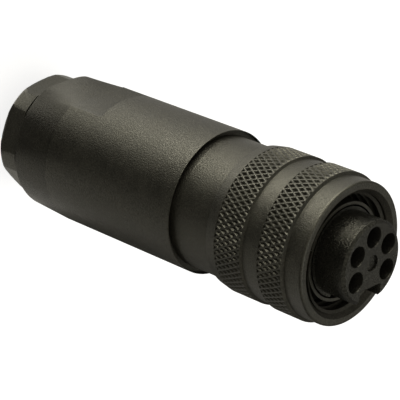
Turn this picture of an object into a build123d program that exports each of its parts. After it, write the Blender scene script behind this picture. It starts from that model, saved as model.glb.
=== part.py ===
from build123d import *
from math import atan2, cos, degrees, pi, radians, sin
import os

# Field attachable female cable connector with an M16 coupling ring and five contacts.
# It stands on the rear face of its clamp nut: +Z runs along the axis to the mating face,
# and the keyway of the contact insert points to +X. All sizes are millimetres and degrees.

# Clearances
thread_clearance = 0.1
fit_clearance = 0.05
running_clearance = 0.1

# Clamp nut
nut_across_flats = 16.2
nut_corner_diameter = 17.45
nut_head_length = 4.3
nut_rear_rounding = 0.9
nut_front_chamfer = 0.3
nut_turned = 10.0
nut_shank_diameter = 14.8
nut_shank_length = 7.0
nut_head_gap = 0.3
cable_entry_diameter = 8.2
cable_entry_chamfer = 0.7

# Thrust washer, clamp cage and cable seal
washer_thickness = 0.6
washer_bore = 8.8
cage_base_length = 1.4
cage_finger_length = 6.0
cage_finger_count = 8
cage_slot_width = 1.2
cage_slot_overcut = 0.5
cage_finger_wall = 1.3
cage_tip_length = 1.2
cage_tip_drop = 0.8
cage_tip_gap = 0.4
seal_wall = 1.45
seal_bore = 7.0
seal_lip = 0.5

# Rear body
body_diameter = 20.0
body_length = 30.1
body_rear_diameter = 19.2
body_taper_length = 6.55
body_edge_rounding = 0.3
wrench_flat_width = 17.0
wrench_flat_length = 12.4
web_thickness = 1.5
web_bore = 9.2
front_bore = 16.6

# Front body
neck_diameter = 18.4
neck_length = 6.3
neck_edge_rounding = 0.25
spigot_length = 6.5
spigot_bore = 14.0
insert_seat_depth = 1.3
journal_diameter = 14.4
journal_end_land = 1.2
sleeve_diameter = 13.1
sleeve_wall = 0.35
sleeve_length = 9.4

# O-ring between the two bodies
o_ring_thickness = 0.84
o_ring_setback = 0.6

# Coupling ring
ring_length = 15.6
ring_rear_diameter = 19.48
ring_band_diameter = 20.1
ring_waist_diameter = 19.4
ring_nose_diameter = 19.2
ring_edge_rounding = 0.25
ring_flange_thickness = 2.8
ring_thread_diameter = 16.0
ring_relief_diameter = 16.4
ring_relief_length = 2.8
ring_mouth_diameter = 16.92
ring_play = 0.1
band_step = 0.2
rear_band_start = 1.68
rear_band_width = 4.37
front_band_start = 8.94
front_band_width = 3.93

# Diamond knurl of the two bands
knurl_count = 75
knurl_ridge = 0.16
knurl_depth = 0.3
rear_band_rows = 5
front_band_rows = 4

# Retaining clip and face seal
clip_thickness = 0.8
clip_depth = 0.5
clip_height = 0.6
clip_opening = 40.0
face_seal_thickness = 1.2
face_seal_setback = 0.1

# Contact insert, retainer and spacer
insert_nose_length = 5.0
insert_nose_diameter = 11.2
insert_edge_rounding = 0.4
insert_flange_length = 3.0
insert_collar_gap = 0.2
keyway_width = 4.0
keyway_floor = 3.45
keyway_length = 10.0
recess_diameter = 2.2
recess_depth = 0.35
retainer_thickness = 2.4
spacer_wall = 1.5
spacer_split = 0.3

# Contacts
contact_count = 5
contact_circle = 7.0
contact_spacing = 60.0
contact_hole = 2.6
contact_hole_chamfer = 0.12
contact_recess = 2.4
contact_pin_bore = 1.1
contact_bore_depth = 6.5
contact_slit = 0.25
contact_slit_length = 5.0
contact_shoulder_diameter = 3.2
contact_shoulder_length = 0.7
contact_tail_diameter = 1.8
contact_tail_length = 5.0
solder_cup_bore = 1.3
solder_cup_depth = 3.2
solder_cup_opening = 2.4

# Stations along the axis, counted from the rear face of the clamp nut
body_rear = nut_head_length + nut_head_gap
body_front = body_rear + body_length
shank_front = nut_head_length + nut_shank_length
washer_rear = shank_front + fit_clearance
washer_front = washer_rear + washer_thickness
cage_rear = washer_front + fit_clearance
cage_base_front = cage_rear + cage_base_length
cage_front = cage_base_front + cage_finger_length
web_rear = cage_front + cage_tip_gap
web_front = web_rear + web_thickness
spigot_rear = body_front - spigot_length
insert_seat = body_front + insert_seat_depth
retainer_front = insert_seat - insert_flange_length
retainer_rear = retainer_front - retainer_thickness
neck_front = body_front + neck_length
ring_rear = neck_front + ring_play
ring_front = ring_rear + ring_length
ring_flange_front = ring_rear + ring_flange_thickness
clip_rear = ring_flange_front + ring_play
clip_front = clip_rear + clip_thickness
journal_front = clip_front + journal_end_land
sleeve_front = journal_front + sleeve_length
insert_front = sleeve_front + insert_nose_length
contact_front = insert_front - contact_recess
contact_rear = retainer_rear - contact_tail_length

# Radii that follow from the sizes above
body_radius = body_diameter / 2
clamp_bore_radius = nut_shank_diameter / 2 + thread_clearance
clamp_piece_radius = clamp_bore_radius - thread_clearance
seal_bore_radius = seal_bore / 2
seal_radius = seal_bore_radius + seal_wall
finger_inner_radius = seal_radius + running_clearance
finger_radius = finger_inner_radius + cage_finger_wall
finger_bore_radius = finger_radius + running_clearance
front_bore_radius = front_bore / 2
spigot_radius = front_bore_radius - thread_clearance
spigot_bore_radius = spigot_bore / 2
journal_radius = journal_diameter / 2
sleeve_radius = sleeve_diameter / 2
sleeve_bore_radius = sleeve_radius - sleeve_wall
insert_collar_radius = sleeve_bore_radius - insert_collar_gap
insert_flange_radius = spigot_bore_radius - fit_clearance
insert_nose_radius = insert_nose_diameter / 2
clip_groove_radius = journal_radius - clip_depth
clip_radius = journal_radius + clip_height
contact_radius = contact_hole / 2 - running_clearance

# The contacts leave the place opposite the middle one to the keyway.
contact_angles = [180 + contact_spacing * (i - (contact_count - 1) / 2) for i in range(contact_count)]


def half_plane(angle=0.0, centre=(0, 0)):
    """Plane that holds the axis through centre and looks along it: x is the radius, y the height."""
    c, s = cos(radians(angle)), sin(radians(angle))
    return Plane(origin=(*centre, 0), x_dir=(c, s, 0), z_dir=(s, -c, 0))


def turned(*outline, arc=360.0, start=0.0, centre=(0, 0), mode=Mode.ADD):
    """Revolve a closed outline of (radius, height) points about the axis through centre."""
    with BuildSketch(half_plane(start, centre)) as section:
        with BuildLine():
            Polyline(*outline, close=True)
        make_face()
    axis = Axis((*centre, 0), (0, 0, 1))
    revolve(section.sketch, axis=axis, revolution_arc=arc, mode=mode)


def circles_at(part, height, radius):
    """The round edges of a part at a height and a radius."""
    rings = part.edges().filter_by(GeomType.CIRCLE)
    return [e for e in rings if abs(e.center().Z - height) < 1e-4 and abs(e.radius - radius) < 1e-4]


pieces = {}


def finish(name, part):
    """Label a finished piece and keep it for writing."""
    part.label = name
    pieces[name] = part


# Clamp nut: a head with six milled flats and turned corner lands, and a hollow threaded shank.
corner_radius = nut_corner_diameter / 2
shank_radius = nut_shank_diameter / 2
cable_radius = cable_entry_diameter / 2
with BuildPart() as clamp_nut:
    with BuildSketch():
        Circle(corner_radius)
        RegularPolygon(nut_across_flats / 2, 6, major_radius=False, rotation=nut_turned - 30,
                       mode=Mode.INTERSECT)
    extrude(amount=nut_head_length)
    rear_land_radius = corner_radius - nut_rear_rounding
    with BuildSketch(half_plane()):
        with BuildLine():
            Polyline((corner_radius, nut_rear_rounding), (corner_radius, nut_head_length - nut_front_chamfer),
                     (corner_radius - nut_front_chamfer, nut_head_length), (0, nut_head_length), (0, 0),
                     (rear_land_radius, 0))
            RadiusArc((rear_land_radius, 0), (corner_radius, nut_rear_rounding), -nut_rear_rounding)
        make_face()
    revolve(axis=Axis.Z, mode=Mode.INTERSECT)
    turned((0, nut_head_length), (shank_radius, nut_head_length), (shank_radius, shank_front),
           (0, shank_front))
    turned((0, 0), (cable_radius + cable_entry_chamfer, 0), (cable_radius, cable_entry_chamfer),
           (cable_radius, shank_front), (0, shank_front), mode=Mode.SUBTRACT)
finish("clamp_nut", clamp_nut.part)

# Thrust washer: lets the nut turn without twisting the cage.
with BuildPart() as thrust_washer:
    with BuildSketch(Plane.XY.offset(washer_rear)):
        Circle(clamp_piece_radius)
        Circle(washer_bore / 2, mode=Mode.SUBTRACT)
    extrude(amount=washer_thickness)
finish("thrust_washer", thrust_washer.part)

# Clamp cage: a collar with slotted fingers whose sloping tips are squeezed in by the rear body.
with BuildPart() as clamp_cage:
    turned((seal_bore_radius, cage_rear), (clamp_piece_radius, cage_rear),
           (clamp_piece_radius, cage_base_front), (finger_radius, cage_base_front),
           (finger_radius, cage_front - cage_tip_length),
           (finger_radius - cage_tip_drop, cage_front), (finger_inner_radius, cage_front),
           (finger_inner_radius, cage_base_front), (seal_bore_radius, cage_base_front))
    with BuildSketch(Plane.XY.offset(cage_base_front)):
        with PolarLocations(finger_radius, cage_finger_count):
            Rectangle(2 * (cage_finger_wall + cage_slot_overcut), cage_slot_width)
    extrude(amount=cage_finger_length, mode=Mode.SUBTRACT)
finish("clamp_cage", clamp_cage.part)

# Cable seal: a rubber bush with a lead-in at both ends of its bore.
with BuildPart() as cable_seal:
    turned((seal_bore_radius + seal_lip, cage_base_front), (seal_radius, cage_base_front),
           (seal_radius, web_rear), (seal_bore_radius + seal_lip, web_rear),
           (seal_bore_radius, web_rear - seal_lip),
           (seal_bore_radius, cage_base_front + seal_lip))
finish("cable_seal", cable_seal.part)

# Rear body: tapered towards the cable, bored from both ends up to an inner web.
body_rear_radius = body_rear_diameter / 2
taper_front = body_rear + body_taper_length
squeeze_start = web_rear - cage_tip_length
with BuildPart() as rear_body:
    turned((clamp_bore_radius, body_rear), (body_rear_radius, body_rear), (body_radius, taper_front),
           (body_radius, body_front), (front_bore_radius, body_front), (front_bore_radius, web_front),
           (web_bore / 2, web_front), (web_bore / 2, web_rear),
           (finger_bore_radius - cage_tip_drop, web_rear), (finger_bore_radius, squeeze_start),
           (finger_bore_radius, cage_base_front + running_clearance),
           (clamp_bore_radius, cage_base_front + running_clearance))
    fillet(circles_at(rear_body, body_rear, body_rear_radius), body_edge_rounding)
    fillet(circles_at(rear_body, body_front, body_radius), body_edge_rounding)
    flat_depth = (body_diameter - wrench_flat_width) / 2
    with BuildSketch(Plane.XY.offset(body_rear)):
        with PolarLocations((wrench_flat_width + flat_depth) / 2, 2):
            Rectangle(flat_depth, body_diameter)
    extrude(amount=wrench_flat_length, mode=Mode.SUBTRACT)
finish("rear_body", rear_body.part)

# Front body: threaded spigot, neck, journal for the coupling ring and thin tube round the insert.
neck_radius = neck_diameter / 2
o_ring_radius = spigot_radius + thread_clearance / 2 - o_ring_thickness / 2
o_ring_height = body_front - o_ring_setback - o_ring_thickness / 2
groove_rear = o_ring_height - o_ring_thickness / 2 - fit_clearance
groove_front = o_ring_height + o_ring_thickness / 2 + fit_clearance
groove_floor = o_ring_radius - o_ring_thickness / 2
with BuildPart() as front_body:
    turned((spigot_bore_radius, spigot_rear), (spigot_radius, spigot_rear), (spigot_radius, body_front),
           (neck_radius, body_front), (neck_radius, neck_front), (journal_radius, neck_front),
           (journal_radius, journal_front), (sleeve_radius, journal_front), (sleeve_radius, sleeve_front),
           (sleeve_bore_radius, sleeve_front), (sleeve_bore_radius, insert_seat),
           (spigot_bore_radius, insert_seat))
    turned((groove_floor, groove_rear), (spigot_radius, groove_rear), (spigot_radius, groove_front),
           (groove_floor, groove_front), mode=Mode.SUBTRACT)
    turned((clip_groove_radius, clip_rear - fit_clearance), (journal_radius, clip_rear - fit_clearance),
           (journal_radius, clip_front + fit_clearance), (clip_groove_radius, clip_front + fit_clearance),
           mode=Mode.SUBTRACT)
    fillet(circles_at(front_body, body_front, neck_radius), neck_edge_rounding)
    fillet(circles_at(front_body, neck_front, neck_radius), neck_edge_rounding)
finish("front_body", front_body.part)

# O-ring in the groove of the spigot, against the bore of the rear body.
with BuildPart() as body_seal:
    with BuildSketch(half_plane()):
        with Locations((o_ring_radius, o_ring_height)):
            Circle(o_ring_thickness / 2)
    revolve(axis=Axis.Z)
finish("body_seal", body_seal.part)

# Coupling ring: two knurled bands over a threaded mouth, turning on the journal by its inner flange.
band_radius = ring_band_diameter / 2
waist_radius = ring_waist_diameter / 2
nose_radius = ring_nose_diameter / 2
mouth_radius = ring_mouth_diameter / 2
thread_radius = ring_thread_diameter / 2
relief_radius = ring_relief_diameter / 2
flange_bore_radius = journal_radius + running_clearance
relief_front = ring_flange_front + ring_relief_length
mouth_rear = ring_front - (mouth_radius - thread_radius)
rear_band = ring_rear + rear_band_start
rear_band_end = rear_band + rear_band_width
front_band = ring_rear + front_band_start
front_band_end = front_band + front_band_width

# Each knurl pit is the four-sided pyramid that two crossing V-grooves share. The rows of pits fill a band.
knurl_cell = 2 * pi * band_radius / knurl_count
groove_rise = 0.1


def knurl_pit(row_pitch):
    """Cutter for one pit at the angle 0, for rows that lie this far apart."""
    knurl_lean = degrees(atan2(knurl_cell / 2, row_pitch))
    groove_half = knurl_cell / 2 * cos(radians(knurl_lean)) - knurl_ridge / 2
    groove_top = groove_half * (1 + groove_rise / knurl_depth)
    with BuildPart() as pit:
        for lean, way in ((knurl_lean, Mode.ADD), (-knurl_lean, Mode.INTERSECT)):
            c, s = cos(radians(lean)), sin(radians(lean))
            with BuildSketch(Plane(origin=(band_radius, 0, 0), x_dir=(0, c, -s), z_dir=(0, s, c))):
                Polygon((0, knurl_depth), (groove_top, -groove_rise), (-groove_top, -groove_rise), align=None)
            extrude(amount=2 * row_pitch, both=True, mode=way)
    return pit.part


rear_row_pitch = rear_band_width / (rear_band_rows + 1)
front_row_pitch = front_band_width / (front_band_rows + 1)
knurls = ((rear_band, rear_band_rows, rear_row_pitch, knurl_pit(rear_row_pitch)),
          (front_band, front_band_rows, front_row_pitch, knurl_pit(front_row_pitch)))
with BuildPart() as coupling_ring:
    turned((flange_bore_radius, ring_rear), (ring_rear_diameter / 2, ring_rear), (band_radius, rear_band),
           (band_radius, rear_band_end), (waist_radius, rear_band_end + band_step),
           (waist_radius, front_band - band_step), (band_radius, front_band), (band_radius, front_band_end),
           (nose_radius, front_band_end + band_step), (nose_radius, ring_front), (mouth_radius, ring_front),
           (thread_radius, mouth_rear), (thread_radius, relief_front), (relief_radius, relief_front),
           (relief_radius, ring_flange_front), (flange_bore_radius, ring_flange_front))
    fillet(circles_at(coupling_ring, ring_front, nose_radius), ring_edge_rounding)
    fillet(circles_at(coupling_ring, ring_rear, ring_rear_diameter / 2), ring_edge_rounding / 2)
    for band, rows, row_pitch, pit in knurls:
        for row in range(1, rows + 1):
            shift = (row % 2) * 180 / knurl_count
            with Locations(Plane.XY.offset(band + row * row_pitch)):
                with PolarLocations(0, knurl_count, start_angle=shift):
                    add(pit, mode=Mode.SUBTRACT)
finish("coupling_ring", coupling_ring.part)

# Retaining clip: an open snap ring in the groove of the journal.
with BuildPart() as retaining_clip:
    clip_bore = clip_groove_radius + fit_clearance
    turned((clip_bore, clip_rear), (clip_radius, clip_rear), (clip_radius, clip_front),
           (clip_bore, clip_front), arc=360 - clip_opening, start=clip_opening / 2)
finish("retaining_clip", retaining_clip.part)

# Face seal: a flat rubber ring at the bottom of the mouth, round the foot of the tube.
face_seal_bore = sleeve_radius + fit_clearance
face_seal_radius = journal_radius - face_seal_setback
face_seal_front = journal_front + face_seal_thickness
with BuildPart() as face_seal:
    turned((face_seal_bore, journal_front), (face_seal_radius, journal_front),
           (face_seal_radius, face_seal_front), (face_seal_bore, face_seal_front))
finish("face_seal", face_seal.part)

# Contact insert: rear flange, collar and nose, with the socket holes, the keyway and a centre recess.
hole_radius = contact_hole / 2
circle_radius = contact_circle / 2
contact_points = [(circle_radius * cos(radians(a)), circle_radius * sin(radians(a))) for a in contact_angles]
with BuildPart() as contact_insert:
    turned((0, retainer_front), (insert_flange_radius, retainer_front), (insert_flange_radius, insert_seat),
           (insert_collar_radius, insert_seat), (insert_collar_radius, sleeve_front),
           (insert_nose_radius, sleeve_front), (insert_nose_radius, insert_front), (0, insert_front))
    fillet(circles_at(contact_insert, insert_front, insert_nose_radius), insert_edge_rounding)
    with BuildSketch(Plane.XY.offset(retainer_front)):
        with Locations(*contact_points):
            Circle(hole_radius)
    extrude(amount=insert_front - retainer_front, mode=Mode.SUBTRACT)
    chamfer(circles_at(contact_insert, insert_front, hole_radius), contact_hole_chamfer)
    with BuildSketch(Plane.XY.offset(insert_front - keyway_length)):
        with Locations((keyway_floor, 0)):
            Rectangle(insert_flange_radius, keyway_width, align=(Align.MIN, Align.CENTER))
    extrude(amount=keyway_length, mode=Mode.SUBTRACT)
    with BuildSketch(Plane.XY.offset(insert_front - recess_depth)):
        Circle(recess_diameter / 2)
    extrude(amount=recess_depth, mode=Mode.SUBTRACT)
finish("contact_insert", contact_insert.part)

# Retainer: the rear plate of the insert, with a stepped hole for the tail and shoulder of each contact.
tail_radius = contact_tail_diameter / 2
shoulder_radius = contact_shoulder_diameter / 2
shoulder_rear = retainer_front - contact_shoulder_length
with BuildPart() as insert_retainer:
    with BuildSketch(Plane.XY.offset(retainer_rear)):
        Circle(insert_flange_radius)
        with Locations(*contact_points):
            Circle(tail_radius + fit_clearance, mode=Mode.SUBTRACT)
    extrude(amount=retainer_thickness)
    with BuildSketch(Plane.XY.offset(shoulder_rear)):
        with Locations(*contact_points):
            Circle(shoulder_radius + fit_clearance)
    extrude(amount=contact_shoulder_length, mode=Mode.SUBTRACT)
finish("insert_retainer", insert_retainer.part)

# Spacer halves: a split distance sleeve between the inner web and the retainer.
spacer_radius = front_bore_radius - running_clearance
spacer_bore_radius = insert_flange_radius - spacer_wall
spacer_step = spigot_rear - fit_clearance
split_angle = degrees(spacer_split / spacer_radius)
for side, turn in (("a", 0), ("b", 180)):
    with BuildPart() as spacer_half:
        turned((spacer_bore_radius, web_front), (spacer_radius, web_front), (spacer_radius, spacer_step),
               (insert_flange_radius, spacer_step), (insert_flange_radius, retainer_rear),
               (spacer_bore_radius, retainer_rear), arc=180 - split_angle, start=turn + split_angle / 2)
    finish(f"spacer_half_{side}", spacer_half.part)

# Contacts: turned sockets with a slit spring end, a shoulder held by the retainer and a solder cup.
for number, (angle, point) in enumerate(zip(contact_angles, contact_points), start=1):
    outward = (cos(radians(angle)), sin(radians(angle)), 0)
    with BuildPart() as contact:
        turned((0, contact_rear), (tail_radius, contact_rear), (tail_radius, shoulder_rear),
               (shoulder_radius, shoulder_rear), (shoulder_radius, retainer_front),
               (contact_radius, retainer_front), (contact_radius, contact_front), (0, contact_front),
               centre=point)
        with BuildSketch(Plane(origin=(*point, contact_front), x_dir=outward, z_dir=(0, 0, 1))):
            Circle(contact_pin_bore / 2)
        extrude(amount=-contact_bore_depth, mode=Mode.SUBTRACT)
        with BuildSketch(Plane(origin=(*point, contact_front), x_dir=outward, z_dir=(0, 0, 1))):
            Rectangle(contact_hole, contact_slit)
        extrude(amount=-contact_slit_length, mode=Mode.SUBTRACT)
        with BuildSketch(Plane(origin=(*point, contact_rear), x_dir=outward, z_dir=(0, 0, 1))):
            Circle(solder_cup_bore / 2)
        extrude(amount=solder_cup_depth, mode=Mode.SUBTRACT)
        with BuildSketch(Plane(origin=(*point, contact_rear), x_dir=outward, z_dir=(0, 0, 1))):
            Rectangle(contact_tail_diameter, contact_tail_diameter, align=(Align.MIN, Align.CENTER))
        extrude(amount=solder_cup_opening, mode=Mode.SUBTRACT)
    finish(f"contact_{number}", contact.part)

os.makedirs("parts", exist_ok=True)
for name, part in pieces.items():
    export_step(part, f"parts/{name}.step")
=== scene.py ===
"""Field attachable cable connector: finer meshes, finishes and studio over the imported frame.

Shapes are worked out in millimetres along the axis, which stands on +Z with the cable end at zero,
and are scaled to metres when a piece is finished.
"""
from math import acos, asin, atan2, ceil, cos, hypot, pi, radians, sin, tan

import bmesh
import bpy
from mathutils import Matrix, Vector


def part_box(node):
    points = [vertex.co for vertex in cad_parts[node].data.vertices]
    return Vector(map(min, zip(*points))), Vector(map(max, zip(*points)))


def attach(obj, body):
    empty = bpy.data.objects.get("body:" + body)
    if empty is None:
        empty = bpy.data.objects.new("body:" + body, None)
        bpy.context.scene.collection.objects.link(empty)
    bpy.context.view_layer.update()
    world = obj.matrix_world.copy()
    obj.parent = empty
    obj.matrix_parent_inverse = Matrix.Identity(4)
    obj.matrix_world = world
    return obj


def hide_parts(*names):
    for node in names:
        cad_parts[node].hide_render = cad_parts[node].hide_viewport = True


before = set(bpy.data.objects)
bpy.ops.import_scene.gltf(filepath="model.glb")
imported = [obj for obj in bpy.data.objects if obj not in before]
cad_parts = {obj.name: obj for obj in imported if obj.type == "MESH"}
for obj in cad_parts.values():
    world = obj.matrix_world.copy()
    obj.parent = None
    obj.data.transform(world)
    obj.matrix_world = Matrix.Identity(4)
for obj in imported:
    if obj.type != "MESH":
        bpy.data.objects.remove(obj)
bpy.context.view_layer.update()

MM = 0.001


def span(node):
    """Lowest and highest point of a frame node along the axis, in millimetres."""
    low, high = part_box(node)
    return low.z / MM, high.z / MM


def reach(node):
    """Largest radius of a frame node across the wrench flats' direction, in millimetres."""
    low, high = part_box(node)
    return round((high.y - low.y) / 2 / MM, 2)


# Stations along the axis, taken from the frame
nut_rear, nut_front = span("clamp_nut")
body_rear, body_front = span("rear_body")
spigot_rear, sleeve_front = span("front_body")
ring_rear, ring_front = span("coupling_ring")
insert_rear, insert_front = span("contact_insert")
clip_rear, clip_front = span("retaining_clip")
seal_rear, seal_front = span("cable_seal")
o_ring_rear, o_ring_front = span("body_seal")
spacer_rear = span("spacer_half_a")[0]
journal_front = span("face_seal")[0]

# Clamp nut; its travel is how far it screws out
NUT_FLATS = 6
NUT_FLAT_DISTANCE = 8.15
NUT_CORNER_RADIUS = 8.725
NUT_HEAD_LENGTH = 4.3
NUT_TRAVEL = 3.0
NUT_REAR_ROUNDING = 0.75
NUT_LAND_LENGTH = 3.42
NUT_RELIEF_RADIUS = 8.2
NUT_TURNED = radians(10)
NUT_SHANK_RADIUS = reach("thrust_washer")
CABLE_ENTRY_RADIUS = 4.1
CABLE_ENTRY_CHAMFER = 0.7

# Rear body; painted shade takes away a share of the gloss, matched to the photograph's tones
BODY_RADIUS = reach("rear_body")
BODY_REAR_RADIUS = 9.65
BODY_TAPER_LENGTH = 6.55
BODY_EDGE_ROUNDING = 0.08
BODY_REAR_ROUNDING = 0.08
WRENCH_FLATS = 2
WRENCH_FLAT_DISTANCE = 8.65
WRENCH_FLATS_TURNED = radians(1.7)
WRENCH_FLAT_LENGTH = 12.4
WRENCH_STEP_BEVEL = 0.15
TAPER_FLAT_EASE = 0.5
TAPER_FLAT_RUN_OUT = 0.45
# Share of the taper's gloss taken away, fading out where the flats cut in: painted shade
TAPER_PAINTED_SHADE = 0.42
TAPER_PAINTED_SHADE_FADE = 0.2
THREAD_CLEARANCE = 0.1
FINGER_BORE_RADIUS = 6.45
FINGER_TIP_LENGTH = 1.2
FINGER_TIP_DROP = 0.8
CAGE_STEP_DEPTH = 0.1
WEB_BORE_RADIUS = 4.6
FRONT_BORE_RADIUS = 8.3
NECK_GAP_RADIUS = 9.9
NECK_GAP_DEPTH = 0.7

# Front body
NECK_RADIUS = reach("front_body")
NECK_LENGTH = 6.3
NECK_STEP_LENGTH = 0.3
NECK_STEP_DEPTH = 0.12
NECK_STEP_ROUNDING = 0.05
SPIGOT_RADIUS = FRONT_BORE_RADIUS - THREAD_CLEARANCE
SPIGOT_BORE_RADIUS = 7.0
INSERT_SEAT_DEPTH = 1.3
JOURNAL_RADIUS = 7.2
CLIP_GROOVE_RADIUS = 6.7
SLEEVE_RADIUS = 6.65
SLEEVE_BORE_RADIUS = 6.2
SLEEVE_RIM_ROUNDING = 0.06
SLEEVE_RIM_ADVANCE = 0.35
O_RING_GROOVE_RADIUS = 7.41
GROOVE_CLEARANCE = 0.05

# Coupling ring
RING_REAR_RADIUS = 9.74
RING_BAND_RADIUS = reach("coupling_ring")
RING_WAIST_RADIUS = 9.7
RING_NOSE_RADIUS = 9.6
RING_LIP = 0.25
RING_LIP_ROUNDING = 0.32
RING_REAR_ROUNDING = 0.12
RING_STEP_ROUNDING = 0.06
RING_MOUTH_RADIUS = 8.6
RING_THREAD_RADIUS = 8.0
MOUTH_CHAMFER_RADIUS = 8.0
# Share of the gloss taken from the ring's bore and thread: painted shade in the mouth
MOUTH_PAINTED_SHADE = 0.45
RING_RELIEF_RADIUS = 8.2
RING_RELIEF_LENGTH = 2.8
RING_FLANGE_BORE_RADIUS = 7.3
RING_FLANGE_THICKNESS = 2.8
BAND_STEP = 0.2
REAR_BAND_START = 1.68
REAR_BAND_WIDTH = 4.37
FRONT_BAND_START = 8.94
FRONT_BAND_WIDTH = 3.93

# Diamond knurl
KNURL_COUNT = 75
KNURL_DEPTH = 0.36
KNURL_RIDGE = 0.18
KNURL_BEVEL_WIDTH = 0.045
KNURL_BEVEL_DROP = 0.018
KNURL_WALL = 0.26
KNURL_LEAST_FLOOR = 0.01
KNURL_CUT_MIDDLE = 0.12
REAR_BAND_ROWS = 5
FRONT_BAND_ROWS = 4
COLUMNS_PER_CELL = 4

# Coupling thread
THREAD_PITCH = 1.4
THREAD_DEPTH = 0.42
THREAD_ROOT_WIDTH = 1.0
THREAD_CREST_WIDTH = 0.6
THREAD_TURNS = 5
THREAD_END = radians(110)
THREAD_SINK = 0.02
THREAD_SINK_TURNS = 0.35
THREAD_LIP_FLANK = 0.15
THREAD_STEPS = 96

# Contact insert
NOSE_RADIUS = 5.6
NOSE_EDGE_CHAMFER = 0.38
NOSE_EDGE_ROUNDING = 0.06
NOSE_STEPS = 112
COLLAR_RADIUS = 6.0
FLANGE_RADIUS = reach("contact_insert")
KEYWAY_HALF_WIDTH = 2.0
KEYWAY_FLOOR = 3.45
KEYWAY_LENGTH = 10.0
KEYWAY_CORNER_ROUNDING = 0.2
KEYWAY_LIP_ROUNDING = 0.15
KEYWAY_EDGE_SHARE = 0.25
CONTACT_COUNT = 5
CONTACT_SPACING = radians(60)
CONTACT_CIRCLE_RADIUS = 3.5
CONTACT_HOLE_RADIUS = 1.36
# Share of the gloss taken from the socket holes' walls: painted shade in the holes
CONTACT_HOLE_PAINTED_SHADE = 0.85
CONTACT_LEAD_WIDTH = 0.06
CONTACT_LEAD_DEPTH = 0.12
RECESS_RADIUS = 1.1
RECESS_DEPTH = 0.35

# Mesh fineness; a guard is a row of points close to an edge
TURN_COLUMNS = 240
NUT_FLAT_STEPS = 14
NUT_LAND_STEPS = 8
WRENCH_FLAT_STEPS = 32
WRENCH_LAND_STEPS = 72
HOLE_COLUMNS = 40
ARC_STEPS = 5
SMALL_ROUNDING = 0.1
GUARD = 0.1
SHARP_ANGLE = radians(32)
MERGE_DISTANCE = 0.003


# Node trees

def add_node(tree, kind, inputs=None, **settings):
    """Add a node with its properties; its inputs take values, sockets or the first output of a node."""
    node = tree.nodes.new(kind)
    for name, value in settings.items():
        setattr(node, name, value)
    for name, value in (inputs or {}).items():
        if isinstance(value, bpy.types.Node):
            value = value.outputs[0]
        if isinstance(value, bpy.types.NodeSocket):
            tree.links.new(value, node.inputs[name])
        else:
            node.inputs[name].default_value = value
    return node


def linear(hex_colour):
    """Linear RGBA of an sRGB hex colour."""
    levels = [int(hex_colour[i:i + 2], 16) / 255 for i in (1, 3, 5)]
    return (*[c / 12.92 if c <= 0.04045 else ((c + 0.055) / 1.055) ** 2.4 for c in levels], 1.0)


# Materials

# Attribute with the share of the gloss taken away at a point, which paints shade
PAINTED_SHADE = "painted_shade"

# Sizes of the surface patterns in millimetres
FLOW_MARK = 3.0
BLOOM_SPOT = 0.8
BLOOM_HEIGHT = 0.01
TOOL_RING_HEIGHT = 0.002

# Length of one band of the wave texture at a scale of 1
WAVE_BAND = 2 * pi / 20

# Where most values of a noise lie, and those of two noises multiplied
NOISE_RANGE = {"From Min": 0.3, "From Max": 0.7}
PRODUCT_RANGE = {"From Min": 0.12, "From Max": 0.42}

# Changes of roughness over flow marks and tool rings, and the plain level of gloss with its tint
FLOW_SMOOTHER = 0.03
FLOW_ROUGHER = 0.04
RING_ROUGHER = 0.05
PLAIN_GLOSS = 0.5
GLOSS_TINT = "#FFFDE7"


def new_material(name):
    """Material with an empty tree, its shader and the Object coordinates that its patterns read."""
    material = bpy.data.materials.new(name)
    material.use_nodes = True
    tree = material.node_tree
    tree.nodes.clear()
    shader = add_node(tree, "ShaderNodeBsdfPrincipled")
    add_node(tree, "ShaderNodeOutputMaterial", {"Surface": shader})
    place = add_node(tree, "ShaderNodeTexCoord").outputs["Object"]
    return material, tree, shader, place


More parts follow.
